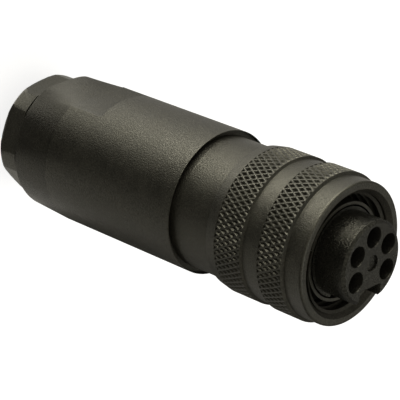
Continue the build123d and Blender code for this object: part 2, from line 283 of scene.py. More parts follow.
def moulded_plastic(name, dark, light, roughness, ior, grain_mm, grain_height_mm, glint):
    """Glass-filled polyamide or polyester as moulded: charcoal, satin, with a fine grain of the mould.

    The grain breaks up the gloss. It is drawn about a pixel wide, coarser than a real mould's, so that
    it shows. The fibres leave faint cloudy flow marks, which show as small changes of tone and gloss.
    A mesh may carry a share of its gloss to take away at each point, which paints shade.
    """
    material, tree, shader, place = new_material(name)
    flow = add_node(tree, "ShaderNodeTexNoise",
                    {"Vector": place, "Scale": 1 / (FLOW_MARK * MM), "Detail": 4.0, "Roughness": 0.6})
    grain = add_node(tree, "ShaderNodeTexNoise",
                     {"Vector": place, "Scale": 1 / (grain_mm * MM), "Detail": 2.0, "Roughness": 0.6})
    tone = add_node(tree, "ShaderNodeMath", {0: flow, 1: grain}, operation="MULTIPLY")
    spread = add_node(tree, "ShaderNodeMapRange", {"Value": tone, **PRODUCT_RANGE})
    colour = add_node(tree, "ShaderNodeMix", {"Factor": spread, 6: linear(dark), 7: linear(light)},
                      data_type="RGBA")
    gloss = add_node(tree, "ShaderNodeMapRange",
                     {"Value": flow, **NOISE_RANGE,
                      "To Min": roughness - FLOW_SMOOTHER, "To Max": roughness + FLOW_ROUGHER})
    bump = add_node(tree, "ShaderNodeBump",
                    {"Height": grain, "Strength": 1.0, "Distance": grain_height_mm * MM})
    sparkle = add_node(tree, "ShaderNodeMapRange",
                       {"Value": grain, **NOISE_RANGE,
                        "To Min": PLAIN_GLOSS - glint, "To Max": PLAIN_GLOSS + glint})
    lost = add_node(tree, "ShaderNodeAttribute", attribute_name=PAINTED_SHADE).outputs["Fac"]
    kept = add_node(tree, "ShaderNodeMath", {0: 1.0, 1: lost}, operation="SUBTRACT")
    shine = add_node(tree, "ShaderNodeMath", {0: sparkle, 1: kept}, operation="MULTIPLY")
    tree.links.new(colour.outputs[2], shader.inputs["Base Color"])
    tree.links.new(gloss.outputs[0], shader.inputs["Roughness"])
    tree.links.new(shine.outputs[0], shader.inputs["Specular IOR Level"])
    tree.links.new(bump.outputs[0], shader.inputs["Normal"])
    shader.inputs["IOR"].default_value = ior
    shader.inputs["Specular Tint"].default_value = linear(GLOSS_TINT)
    return material


def nitrile_rubber(name):
    """Moulded nitrile rubber: near black, dull, with a powdery bloom."""
    material, tree, shader, place = new_material(name)
    bloom = add_node(tree, "ShaderNodeTexNoise",
                     {"Vector": place, "Scale": 1 / (BLOOM_SPOT * MM), "Detail": 5.0})
    colour = add_node(tree, "ShaderNodeMix",
                      {"Factor": bloom, 6: linear("#0E0E0E"), 7: linear("#1A1A19")}, data_type="RGBA")
    bump = add_node(tree, "ShaderNodeBump",
                    {"Height": bloom, "Strength": 1.0, "Distance": BLOOM_HEIGHT * MM})
    tree.links.new(colour.outputs[2], shader.inputs["Base Color"])
    tree.links.new(bump.outputs[0], shader.inputs["Normal"])
    shader.inputs["Roughness"].default_value = 0.72
    return material


def turned_metal(name, dark, light, roughness, ring_mm):
    """Turned metal: tool rings round the axis, under the plating or in the bare steel.

    The rings are drawn coarser than a lathe leaves them, so that they show.
    """
    material, tree, shader, place = new_material(name)
    rings = add_node(tree, "ShaderNodeTexWave",
                     {"Vector": place, "Scale": WAVE_BAND / (ring_mm * MM), "Distortion": 0.6,
                      "Detail": 2.0}, wave_type="BANDS", bands_direction="Z")
    ring_tone = rings.outputs["Fac"]
    tint = add_node(tree, "ShaderNodeMix",
                    {"Factor": ring_tone, 6: linear(dark), 7: linear(light)}, data_type="RGBA")
    gloss = add_node(tree, "ShaderNodeMapRange",
                     {"Value": ring_tone, "To Min": roughness - RING_ROUGHER,
                      "To Max": roughness + RING_ROUGHER})
    bump = add_node(tree, "ShaderNodeBump",
                    {"Height": ring_tone, "Strength": 1.0, "Distance": TOOL_RING_HEIGHT * MM})
    tree.links.new(tint.outputs[2], shader.inputs["Base Color"])
    tree.links.new(gloss.outputs[0], shader.inputs["Roughness"])
    tree.links.new(bump.outputs[0], shader.inputs["Normal"])
    shader.inputs["Metallic"].default_value = 1.0
    return material


housing_plastic = moulded_plastic(
    "glass_filled_polyamide_satin", "#151411", "#2B2923",
    roughness=0.4, ior=1.46, grain_mm=0.18, grain_height_mm=0.06, glint=0.15)
insert_plastic = moulded_plastic(
    "glass_filled_polyester_insert", "#121210", "#24231F",
    roughness=0.25, ior=1.37, grain_mm=0.2, grain_height_mm=0.07, glint=0.47)
seal_rubber = nitrile_rubber("nitrile_rubber_moulded")
contact_gold = turned_metal(
    "gold_plated_brass_turned", "#957840", "#AC8C4E", roughness=0.38, ring_mm=0.377)
spring_steel = turned_metal(
    "spring_steel_rolled", "#8E9093", "#A7A9AB", roughness=0.32, ring_mm=0.503)


# Mesh helpers

def rounded_outline(*corners):
    """Points of an outline of (x, y, rounding) corners, with an arc at each rounded one.

    A long run between two corners gets a point close to each end, which keeps its shading even.
    """
    points = []
    for i, (x, y, rounding) in enumerate(corners):
        corner = Vector((x, y))
        if not rounding:
            points.append(corner)
            continue
        back = (Vector(corners[i - 1][:2]) - corner).normalized()
        ahead = (Vector(corners[(i + 1) % len(corners)][:2]) - corner).normalized()
        half = back.angle(ahead) / 2
        middle = corner + (back + ahead).normalized() * rounding / sin(half)
        first = corner + back * rounding / tan(half) - middle
        last = corner + ahead * rounding / tan(half) - middle
        points += [middle + first.slerp(last, k / ARC_STEPS) * rounding for k in range(ARC_STEPS + 1)]
    guarded = points[:1]
    for start, end in zip(points, points[1:]):
        run = end - start
        if run.length > 4 * GUARD:
            guarded += [start + run.normalized() * GUARD, end - run.normalized() * GUARD]
        guarded.append(end)
    return guarded


def polar_row(radius, height, angles):
    """One row of a turned skin: the points of a circle, or of a radius for each angle."""
    radii = radius if isinstance(radius, list) else [radius] * len(angles)
    return [Vector((r * cos(a), r * sin(a), height)) for r, a in zip(radii, angles)]


def even_angles(count):
    """Angles spread evenly over one turn."""
    return [2 * pi * k / count for k in range(count)]


def add_skin(mesh, rows, closed=False):
    """Add quads between rows of points round the axis; a closed skin joins its last row to the first."""
    rings = [[mesh.verts.new(p) for p in row] for row in rows]
    pairs = list(zip(rings, rings[1:]))
    if closed:
        pairs.append((rings[-1], rings[0]))
    for lower, upper in pairs:
        for k in range(len(lower)):
            n = (k + 1) % len(lower)
            mesh.faces.new((lower[k], lower[n], upper[n], upper[k]))
    return rings


# Rounding of the edge between a flat and the round, and the fine steps across it
EDGE_EASE = 0.05
EDGE_MARGIN = radians(1.0)
EDGE_STEPS = 4


def eased_min(a, b, ease):
    """The smaller of two values, rounded off where they are nearly equal."""
    if abs(a - b) >= ease:
        return min(a, b)
    share = 0.5 + 0.5 * (b - a) / ease
    return b + (a - b) * share - ease * share * (1 - share)


def flatted_angles(flats, edge, turned, flat_steps, land_steps):
    """Angles of one row round a flatted bar, close together at the edges of its flats."""
    pitch = 2 * pi / flats
    stretches = ((-edge + EDGE_MARGIN, edge - EDGE_MARGIN, flat_steps),
                 (edge - EDGE_MARGIN, edge + EDGE_MARGIN, EDGE_STEPS),
                 (edge + EDGE_MARGIN, pitch - edge - EDGE_MARGIN, land_steps),
                 (pitch - edge - EDGE_MARGIN, pitch - edge + EDGE_MARGIN, EDGE_STEPS))
    angles = []
    for flat in range(flats):
        for start, end, steps in stretches:
            angles += [turned + flat * pitch + start + (end - start) * k / steps for k in range(steps)]
    return angles


def flatted_radii(radius, distance, flats, turned, angles, ease=EDGE_EASE):
    """Radius at each angle of a round bar with flats at a distance from its axis."""
    pitch = 2 * pi / flats
    radii = []
    for angle in angles:
        off = (angle - turned + pitch / 2) % pitch - pitch / 2
        radii.append(eased_min(radius, distance / cos(off), ease))
    return radii


def finish_piece(name, mesh, material, slot, body, *nodes):
    """Close a mesh, scale it to metres, give it its finish and body, and hide the frame nodes it stands
    for.
    """
    bmesh.ops.remove_doubles(mesh, verts=mesh.verts, dist=MERGE_DISTANCE)
    bmesh.ops.dissolve_degenerate(mesh, edges=mesh.edges, dist=MERGE_DISTANCE / 10)
    bmesh.ops.recalc_face_normals(mesh, faces=mesh.faces)
    data = bpy.data.meshes.new(name)
    mesh.to_mesh(data)
    mesh.free()
    data.transform(Matrix.Scale(MM, 4))
    data.shade_smooth()
    data.set_sharp_from_angle(angle=SHARP_ANGLE)
    data.materials.clear()
    data.materials.append(material)
    piece = bpy.data.objects.new(name, data)
    bpy.context.scene.collection.objects.link(piece)
    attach(piece, body)
    if nodes:
        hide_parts(*nodes)
    return piece


def set_painted_shade(piece, share_lost):
    """Paint shade by taking a share of the gloss off each point of a piece, from its place in
    millimetres.
    """
    painted_shade = piece.data.attributes.new(PAINTED_SHADE, "FLOAT", "POINT")
    for vertex, point in zip(piece.data.vertices, painted_shade.data):
        point.value = share_lost(*vertex.co / MM)
    return piece


# Geometry node trees

def new_shape_tree(name, **sizes):
    """Empty geometry tree with a named input for each size; the kind follows from its value."""
    tree = bpy.data.node_groups.new(name, "GeometryNodeTree")
    tree.interface.new_socket("Geometry", in_out="INPUT", socket_type="NodeSocketGeometry")
    kinds = {int: "NodeSocketInt", float: "NodeSocketFloat"}
    for size, value in sizes.items():
        socket = tree.interface.new_socket(size, in_out="INPUT", socket_type=kinds[type(value)])
        socket.default_value = value
    tree.interface.new_socket("Material", in_out="INPUT", socket_type="NodeSocketMaterial")
    tree.interface.new_socket("Geometry", in_out="OUTPUT", socket_type="NodeSocketGeometry")
    return tree, add_node(tree, "NodeGroupInput").outputs


def end_shape_tree(tree, geometry, material):
    """End a geometry tree in real geometry with its material."""
    real = add_node(tree, "GeometryNodeRealizeInstances", {"Geometry": geometry})
    dressed = add_node(tree, "GeometryNodeSetMaterial", {"Geometry": real, "Material": material})
    add_node(tree, "NodeGroupOutput", {"Geometry": dressed})
    return tree


def knurl_tree():
    """Repeats one knurl cell round the axis in rows, each row half a cell on from the last."""
    tree, size = new_shape_tree("Knurl rows", **{
        "Cells Round": KNURL_COUNT, "Rows": REAR_BAND_ROWS, "First Height": 0.0, "First Turn": 0.0,
        "Row Pitch": REAR_BAND_WIDTH / (REAR_BAND_ROWS + 1)})
    index = add_node(tree, "GeometryNodeInputIndex")
    rows_on = add_node(tree, "ShaderNodeMath", {0: index, 1: size["Cells Round"]}, operation="DIVIDE")
    row = add_node(tree, "ShaderNodeMath", {0: rows_on}, operation="FLOOR")
    height = add_node(tree, "ShaderNodeMath", {0: row, 1: size["Row Pitch"], 2: size["First Height"]},
                      operation="MULTIPLY_ADD")
    odd = add_node(tree, "ShaderNodeMath", {0: row, 1: 2.0}, operation="MODULO")
    cells_on = add_node(tree, "ShaderNodeMath", {0: odd, 1: 0.5, 2: index}, operation="MULTIPLY_ADD")
    step = add_node(tree, "ShaderNodeMath", {0: 2 * pi, 1: size["Cells Round"]}, operation="DIVIDE")
    turn = add_node(tree, "ShaderNodeMath", {0: cells_on, 1: step, 2: size["First Turn"]},
                    operation="MULTIPLY_ADD")
    count = add_node(tree, "ShaderNodeMath", {0: size["Cells Round"], 1: size["Rows"]},
                     operation="MULTIPLY")
    place = add_node(tree, "ShaderNodeCombineXYZ", {"Z": height})
    spin = add_node(tree, "ShaderNodeCombineXYZ", {"Z": turn})
    points = add_node(tree, "GeometryNodePoints", {"Count": count, "Position": place})
    cells = add_node(tree, "GeometryNodeInstanceOnPoints",
                     {"Points": points, "Instance": size["Geometry"], "Rotation": spin})
    return end_shape_tree(tree, cells, size["Material"])


def thread_tree():
    """Sweeps a thread ridge along a helix on a bore wall, and sinks its rear end into the wall."""
    tree, size = new_shape_tree("Internal thread", **{
        "Path Radius": RING_THREAD_RADIUS, "Pitch": THREAD_PITCH, "Turns": float(THREAD_TURNS),
        "Depth": THREAD_DEPTH, "Root Width": THREAD_ROOT_WIDTH, "Crest Width": THREAD_CREST_WIDTH,
        "First Height": 0.0, "Steps Per Turn": THREAD_STEPS, "Turns To Sink": THREAD_SINK_TURNS})
    length = add_node(tree, "ShaderNodeMath", {0: size["Pitch"], 1: size["Turns"]},
                      operation="MULTIPLY")
    helix = add_node(tree, "GeometryNodeCurveSpiral",
                     {"Resolution": size["Steps Per Turn"], "Rotations": size["Turns"],
                      "Start Radius": size["Path Radius"], "End Radius": size["Path Radius"],
                      "Height": length})
    lift = add_node(tree, "ShaderNodeCombineXYZ", {"Z": size["First Height"]})
    raised = add_node(tree, "GeometryNodeTransform", {"Geometry": helix, "Translation": lift})
    share = add_node(tree, "GeometryNodeSplineParameter").outputs["Factor"]
    along = add_node(tree, "ShaderNodeMath", {0: share, 1: size["Turns"]}, operation="MULTIPLY")
    sunk = add_node(tree, "ShaderNodeMapRange",
                    {"Value": along, "From Max": size["Turns To Sink"],
                     "To Min": size["Depth"], "To Max": 0.0})
    here = add_node(tree, "GeometryNodeInputPosition")
    level = add_node(tree, "ShaderNodeVectorMath", {0: here, 1: (1.0, 1.0, 0.0)}, operation="MULTIPLY")
    outward = add_node(tree, "ShaderNodeVectorMath", {0: level}, operation="NORMALIZE")
    push = add_node(tree, "ShaderNodeVectorMath", {0: outward, "Scale": sunk}, operation="SCALE")
    path = add_node(tree, "GeometryNodeSetPosition", {"Geometry": raised, "Offset": push})
    upright = add_node(tree, "GeometryNodeSetCurveNormal", {"Curve": path}, mode="Z_UP")
    ridge = add_node(tree, "GeometryNodeCurvePrimitiveQuadrilateral",
                     {"Bottom Width": size["Root Width"], "Top Width": size["Crest Width"],
                      "Height": size["Depth"], "Offset": 0.0}, mode="TRAPEZOID")
    crest_in = add_node(tree, "GeometryNodeTransform",
                        {"Geometry": ridge, "Rotation": (0.0, 0.0, -pi / 2)})
    solid = add_node(tree, "GeometryNodeCurveToMesh",
                     {"Curve": upright, "Profile Curve": crest_in, "Fill Caps": True})
    return end_shape_tree(tree, solid, size["Material"])


def shape_from_tree(tree, mesh, sizes):
    """Plain mesh that a geometry tree makes from a base mesh and named sizes."""
    base = bpy.data.objects.new(tree.name, mesh)
    bpy.context.scene.collection.objects.link(base)
    modifier = base.modifiers.new(tree.name, "NODES")
    modifier.node_group = tree
    for item in tree.interface.items_tree:
        if item.in_out == "INPUT" and item.name in sizes:
            modifier[item.identifier] = sizes[item.name]
    depsgraph = bpy.context.evaluated_depsgraph_get()
    made = bpy.data.meshes.new_from_object(base.evaluated_get(depsgraph))
    base.modifiers.remove(modifier)
    bpy.data.objects.remove(base)
    return made


# Clamp nut: six milled flats with turned corner lands, a rounded rear edge and a hollow shank

def make_clamp_nut():
    outline = rounded_outline(
        (CABLE_ENTRY_RADIUS + CABLE_ENTRY_CHAMFER, nut_rear, SMALL_ROUNDING),
        (NUT_CORNER_RADIUS, nut_rear, NUT_REAR_ROUNDING),
        (NUT_CORNER_RADIUS, NUT_LAND_LENGTH, 0),
        (NUT_RELIEF_RADIUS, NUT_LAND_LENGTH, 0),
        (NUT_RELIEF_RADIUS, NUT_HEAD_LENGTH, 0),
        (NUT_SHANK_RADIUS, NUT_HEAD_LENGTH, 0),
        (NUT_SHANK_RADIUS, nut_front, SMALL_ROUNDING),
        (CABLE_ENTRY_RADIUS, nut_front, SMALL_ROUNDING),
        (CABLE_ENTRY_RADIUS, nut_rear + CABLE_ENTRY_CHAMFER, SMALL_ROUNDING))
    edge = acos(NUT_FLAT_DISTANCE / NUT_CORNER_RADIUS)
    angles = flatted_angles(NUT_FLATS, edge, NUT_TURNED, NUT_FLAT_STEPS, NUT_LAND_STEPS)
    rows = []
    for radius, height in outline:
        if radius > NUT_SHANK_RADIUS and height <= NUT_HEAD_LENGTH:
            radius = flatted_radii(radius, NUT_FLAT_DISTANCE, NUT_FLATS, NUT_TURNED, angles)
        rows.append(polar_row(radius, height, angles))
    mesh = bmesh.new()
    add_skin(mesh, rows, closed=True)
    return finish_piece("clamp_nut_moulded", mesh, housing_plastic, "housing_plastic", "nut",
                        "clamp_nut")


# Rear body: tapered towards the cable, with two wrench flats that end in a step, and a groove round the
# neck. The flats' edges are crisp on the cylinder and run out softly on the taper, which has painted
# shade: part of its gloss is taken away.

def make_rear_body():
    flat_front = body_rear + WRENCH_FLAT_LENGTH
    taper_front = body_rear + BODY_TAPER_LENGTH
    cage_step = seal_rear + CAGE_STEP_DEPTH
    clamp_bore = NUT_SHANK_RADIUS + THREAD_CLEARANCE
    outline = rounded_outline(
        (clamp_bore, body_rear, SMALL_ROUNDING),
        (BODY_REAR_RADIUS, body_rear, BODY_REAR_ROUNDING),
        (BODY_RADIUS, taper_front, 0),
        (BODY_RADIUS, flat_front, 0),
        (BODY_RADIUS, body_front, BODY_EDGE_ROUNDING),
        (NECK_GAP_RADIUS, body_front, 0),
        (NECK_GAP_RADIUS, body_front - NECK_GAP_DEPTH, 0),
        (FRONT_BORE_RADIUS, body_front - NECK_GAP_DEPTH, 0),
        (FRONT_BORE_RADIUS, spacer_rear, 0),
        (WEB_BORE_RADIUS, spacer_rear, SMALL_ROUNDING),
        (WEB_BORE_RADIUS, seal_front, SMALL_ROUNDING),
        (FINGER_BORE_RADIUS - FINGER_TIP_DROP, seal_front, 0),
        (FINGER_BORE_RADIUS, seal_front - FINGER_TIP_LENGTH, 0),
        (FINGER_BORE_RADIUS, cage_step, 0),
        (clamp_bore, cage_step, 0))
    edge = acos(WRENCH_FLAT_DISTANCE / BODY_RADIUS)
    angles = flatted_angles(
        WRENCH_FLATS, edge, WRENCH_FLATS_TURNED, WRENCH_FLAT_STEPS, WRENCH_LAND_STEPS)
    flats = (WRENCH_FLATS, WRENCH_FLATS_TURNED, angles)
    rows = []
    for radius, height in outline:
        if radius <= WRENCH_FLAT_DISTANCE or height > flat_front + MERGE_DISTANCE:
            rows.append(polar_row(radius, height, angles))
            continue
        if height < taper_front + MERGE_DISTANCE:
            run_out = TAPER_FLAT_RUN_OUT * (taper_front - height) / BODY_TAPER_LENGTH
            radii = flatted_radii(radius, WRENCH_FLAT_DISTANCE + run_out, *flats, TAPER_FLAT_EASE)
            rows.append(polar_row(radii, height, angles))
        if height < taper_front - MERGE_DISTANCE:
            continue
        radii = flatted_radii(radius, WRENCH_FLAT_DISTANCE, *flats)
        rows.append(polar_row(radii, height, angles))
        if height > flat_front - MERGE_DISTANCE:
            step = [max(r, BODY_RADIUS - WRENCH_STEP_BEVEL) for r in radii]
            rows.append(polar_row(step, height, angles))
            rows.append([Vector((BODY_RADIUS * cos(a), BODY_RADIUS * sin(a), height + BODY_RADIUS - r))
                         for r, a in zip(step, angles)])
    mesh = bmesh.new()
    add_skin(mesh, rows, closed=True)
    body = finish_piece("rear_body_moulded", mesh, housing_plastic, "housing_plastic", "housing",
                        "rear_body")

    # Painted shade: the taper's round surface loses part of its gloss, less where the flats cut in
    def taper_painted_shade(x, y, height):
        radius = hypot(x, y)
        if radius < FRONT_BORE_RADIUS + GUARD or height > taper_front + MERGE_DISTANCE:
            return 0
        rise = (height - body_rear) / BODY_TAPER_LENGTH
        cone = BODY_REAR_RADIUS + (BODY_RADIUS - BODY_REAR_RADIUS) * rise
        return TAPER_PAINTED_SHADE * max(0, 1 - (cone - radius) / TAPER_PAINTED_SHADE_FADE)

    return set_painted_shade(body, taper_painted_shade)


# Front body: neck, journal for the ring and thin tube round the insert

def make_front_body():
    neck_front = body_front + NECK_LENGTH
    seat = body_front + INSERT_SEAT_DEPTH
    rim_front = sleeve_front + SLEEVE_RIM_ADVANCE
    outline = rounded_outline(
        (SPIGOT_BORE_RADIUS, spigot_rear, SMALL_ROUNDING),
        (SPIGOT_RADIUS, spigot_rear, SMALL_ROUNDING),
        (SPIGOT_RADIUS, o_ring_rear - GROOVE_CLEARANCE, 0),
        (O_RING_GROOVE_RADIUS, o_ring_rear - GROOVE_CLEARANCE, 0),
        (O_RING_GROOVE_RADIUS, o_ring_front + GROOVE_CLEARANCE, 0),
        (SPIGOT_RADIUS, o_ring_front + GROOVE_CLEARANCE, 0),
        (SPIGOT_RADIUS, body_front - NECK_GAP_DEPTH, 0),
        (NECK_RADIUS, body_front - NECK_GAP_DEPTH, 0),
        (NECK_RADIUS, neck_front - NECK_STEP_LENGTH, NECK_STEP_ROUNDING),
        (NECK_RADIUS - NECK_STEP_DEPTH, neck_front - NECK_STEP_LENGTH, 0),
        (NECK_RADIUS - NECK_STEP_DEPTH, neck_front, 0),
        (JOURNAL_RADIUS, neck_front, 0),
        (JOURNAL_RADIUS, clip_rear - GROOVE_CLEARANCE, 0),
        (CLIP_GROOVE_RADIUS, clip_rear - GROOVE_CLEARANCE, 0),
        (CLIP_GROOVE_RADIUS, clip_front + GROOVE_CLEARANCE, 0),
        (JOURNAL_RADIUS, clip_front + GROOVE_CLEARANCE, 0),
        (JOURNAL_RADIUS, journal_front, 0),
        (SLEEVE_RADIUS, journal_front, 0),
        (SLEEVE_RADIUS, rim_front, SLEEVE_RIM_ROUNDING),
        (SLEEVE_BORE_RADIUS, rim_front, SLEEVE_RIM_ROUNDING),
        (SLEEVE_BORE_RADIUS, seat, 0),
        (SPIGOT_BORE_RADIUS, seat, 0))
    mesh = bmesh.new()
    angles = even_angles(TURN_COLUMNS)
    add_skin(mesh, [polar_row(radius, height, angles) for radius, height in outline], closed=True)
    return finish_piece("front_body_moulded", mesh, housing_plastic, "housing_plastic", "housing",
                        "front_body")


# Coupling ring: two bands of diamond knurl over a threaded mouth

def knurl_cell(half_height, cut):
    """One diamond of the knurl, a sunken pit inside half the width of each ridge.

    A cell cut by the edge of the band is a triangle that stands on it: cut is 1 for the rear edge,
    -1 for the front one and 0 for a whole cell.
    """
    half_turn = pi / KNURL_COUNT
    if cut:
        base = [(half_turn * (1 - 2 * k / COLUMNS_PER_CELL), 0.0) for k in range(COLUMNS_PER_CELL + 1)]
        corners = base + [(0.0, half_height * cut)]
        middle_height = half_height * cut * KNURL_CUT_MIDDLE
    else:
        corners = [(half_turn, 0.0), (0.0, half_height), (-half_turn, 0.0), (0.0, -half_height)]
        middle_height = 0.0
    half_width = half_turn * RING_BAND_RADIUS
    side = hypot(half_width, half_height)
    inner = half_width * (half_height - abs(middle_height)) / side
    ridge = KNURL_RIDGE / 2
    wall = min(KNURL_WALL, inner - ridge - KNURL_LEAST_FLOOR)
    depth = KNURL_DEPTH * wall / KNURL_WALL
    mesh = bmesh.new()
    loops = []
    for inset, sunk in ((0, 0), (ridge - KNURL_BEVEL_WIDTH, 0), (ridge, KNURL_BEVEL_DROP),
                        (ridge + wall, depth)):
        share = 1 - inset / inner
        radius = RING_BAND_RADIUS - sunk
        loop = []
        for turn, height in corners:
            turn *= share
            height = middle_height + (height - middle_height) * share
            loop.append(mesh.verts.new((radius * cos(turn), radius * sin(turn), height)))
        loops.append(loop)
    for outer, inside in zip(loops, loops[1:]):
        for k in range(len(corners)):
            n = (k + 1) % len(corners)
            mesh.faces.new((outer[k], outer[n], inside[n], inside[k]))
    mesh.faces.new(loops[-1])
    bmesh.ops.recalc_face_normals(mesh, faces=mesh.faces)
    data = bpy.data.meshes.new("knurl_cell")
    mesh.to_mesh(data)
    mesh.free()
    return data


def make_coupling_ring():
    rear_band = ring_rear + REAR_BAND_START
    rear_band_end = rear_band + REAR_BAND_WIDTH
    front_band = ring_rear + FRONT_BAND_START
    front_band_end = front_band + FRONT_BAND_WIDTH
    flange_front = ring_rear + RING_FLANGE_THICKNESS
    relief_front = flange_front + RING_RELIEF_LENGTH
    lip_front = ring_front + RING_LIP
    chamfer_rear = lip_front - (RING_MOUTH_RADIUS - MOUTH_CHAMFER_RADIUS)
    waist = rounded_outline(
        (RING_BAND_RADIUS, rear_band_end, 0),
        (RING_WAIST_RADIUS, rear_band_end + BAND_STEP, RING_STEP_ROUNDING),
        (RING_WAIST_RADIUS, front_band - BAND_STEP, RING_STEP_ROUNDING),
        (RING_BAND_RADIUS, front_band, 0))
    ends = rounded_outline(
        (RING_BAND_RADIUS, front_band_end, 0),
        (RING_NOSE_RADIUS, front_band_end + BAND_STEP, RING_STEP_ROUNDING),
        (RING_NOSE_RADIUS, lip_front, RING_LIP_ROUNDING),
        (RING_MOUTH_RADIUS, lip_front, RING_STEP_ROUNDING),
        (MOUTH_CHAMFER_RADIUS, chamfer_rear, 0),
        (RING_THREAD_RADIUS, chamfer_rear - THREAD_LIP_FLANK, 0),
        (RING_THREAD_RADIUS, relief_front, 0),
        (RING_RELIEF_RADIUS, relief_front, 0),
        (RING_RELIEF_RADIUS, flange_front, 0),
        (RING_FLANGE_BORE_RADIUS, flange_front, SMALL_ROUNDING),
        (RING_FLANGE_BORE_RADIUS, ring_rear, SMALL_ROUNDING),
        (RING_REAR_RADIUS, ring_rear, RING_REAR_ROUNDING),
        (RING_BAND_RADIUS, rear_band, 0))
    mesh = bmesh.new()
    columns = even_angles(KNURL_COUNT * COLUMNS_PER_CELL)
    for outline in (waist, ends):
        add_skin(mesh, [polar_row(radius, height, columns) for radius, height in outline])
    tree = knurl_tree()
    half_cell = pi / KNURL_COUNT
    for start, width, rows in ((rear_band, REAR_BAND_WIDTH, REAR_BAND_ROWS),
                               (front_band, FRONT_BAND_WIDTH, FRONT_BAND_ROWS)):
        pitch = width / (rows + 1)
        last_turn = half_cell * ((rows + 1) % 2)
        for cell, count, height, turn in ((knurl_cell(pitch, 0), rows, start + pitch, half_cell),
                                          (knurl_cell(pitch, 1), 1, start, 0.0),
                                          (knurl_cell(pitch, -1), 1, start + width, last_turn)):
            mesh.from_mesh(shape_from_tree(tree, cell, {
                "Rows": count, "Row Pitch": pitch, "First Height": height, "First Turn": turn,
                "Material": housing_plastic}))
    ring = finish_piece("coupling_ring_moulded", mesh, housing_plastic, "housing_plastic", "ring",
                        "coupling_ring")
    make_coupling_thread(chamfer_rear)
    # The ring's bore loses part of its gloss: painted shade in the mouth
    return set_painted_shade(ring, lambda x, y, height: MOUTH_PAINTED_SHADE * (hypot(x, y) < RING_MOUTH_RADIUS))


def make_coupling_thread(front):
    """Ridge of the coupling thread on the ring's bore; it ends at the chamfer of the mouth."""
    turns = THREAD_TURNS + THREAD_END / (2 * pi)
    thread = shape_from_tree(thread_tree(), bpy.data.meshes.new("thread"), {
        "Path Radius": RING_THREAD_RADIUS + THREAD_SINK - THREAD_DEPTH / 2,
        "Turns": turns, "First Height": front - turns * THREAD_PITCH, "Material": housing_plastic})
    mesh = bmesh.new()
    mesh.from_mesh(thread)
    ridge = finish_piece("coupling_thread", mesh, housing_plastic, "housing_plastic", "ring")
    # The thread loses part of its gloss: painted shade in the mouth
    return set_painted_shade(ridge, lambda x, y, height: MOUTH_PAINTED_SHADE)


# Contact insert: nose with five socket holes, a keyway and a centre recess

def keyed_loop(radius, inset=0.0):
    """Outline of the insert with its keyway, moved in by an inset, from the keyway's floor on."""
    rim = radius - inset
    half = KEYWAY_HALF_WIDTH + inset * KEYWAY_EDGE_SHARE
    floor = KEYWAY_FLOOR - inset * KEYWAY_EDGE_SHARE
    mouth = asin(half / rim)
    upper = [(floor, half, KEYWAY_CORNER_ROUNDING), (rim * cos(mouth), half, KEYWAY_LIP_ROUNDING)]
    lower = [(x, -y, rounding) for x, y, rounding in reversed(upper)]
    turns = [mouth + 2 * (pi - mouth) * k / NOSE_STEPS for k in range(1, NOSE_STEPS)]
    arc = [(rim * cos(turn), rim * sin(turn), 0) for turn in turns]
    return rounded_outline((floor, 0, 0), *upper, *arc, *lower)


def filled_loop(radius):
    """Circle with a point for each point of a keyed loop; those of the keyway cross its mouth."""
    keyed = keyed_loop(COLLAR_RADIUS)
    on_rim = [k for k, (x, y) in enumerate(keyed) if hypot(x, y) > COLLAR_RADIUS - MERGE_DISTANCE]
    turns = [atan2(y, x) for x, y in keyed]
    mouth = turns[on_rim[0]]
    keyway = [*range(on_rim[-1] + 1, len(keyed)), *range(on_rim[0])]
    for place, k in enumerate(keyway, start=1):
        turns[k] = mouth * (2 * place / (len(keyway) + 1) - 1)
    return [(radius * cos(turn), radius * sin(turn)) for turn in turns]


def fill_flat(mesh, rings):
    """Fill the flat face that rings of vertices bound, holes left open."""
    edges = [mesh.edges.get((ring[k - 1], ring[k])) for ring in rings for k in range(len(ring))]
    bmesh.ops.triangle_fill(mesh, use_beauty=True, use_dissolve=False, edges=edges)


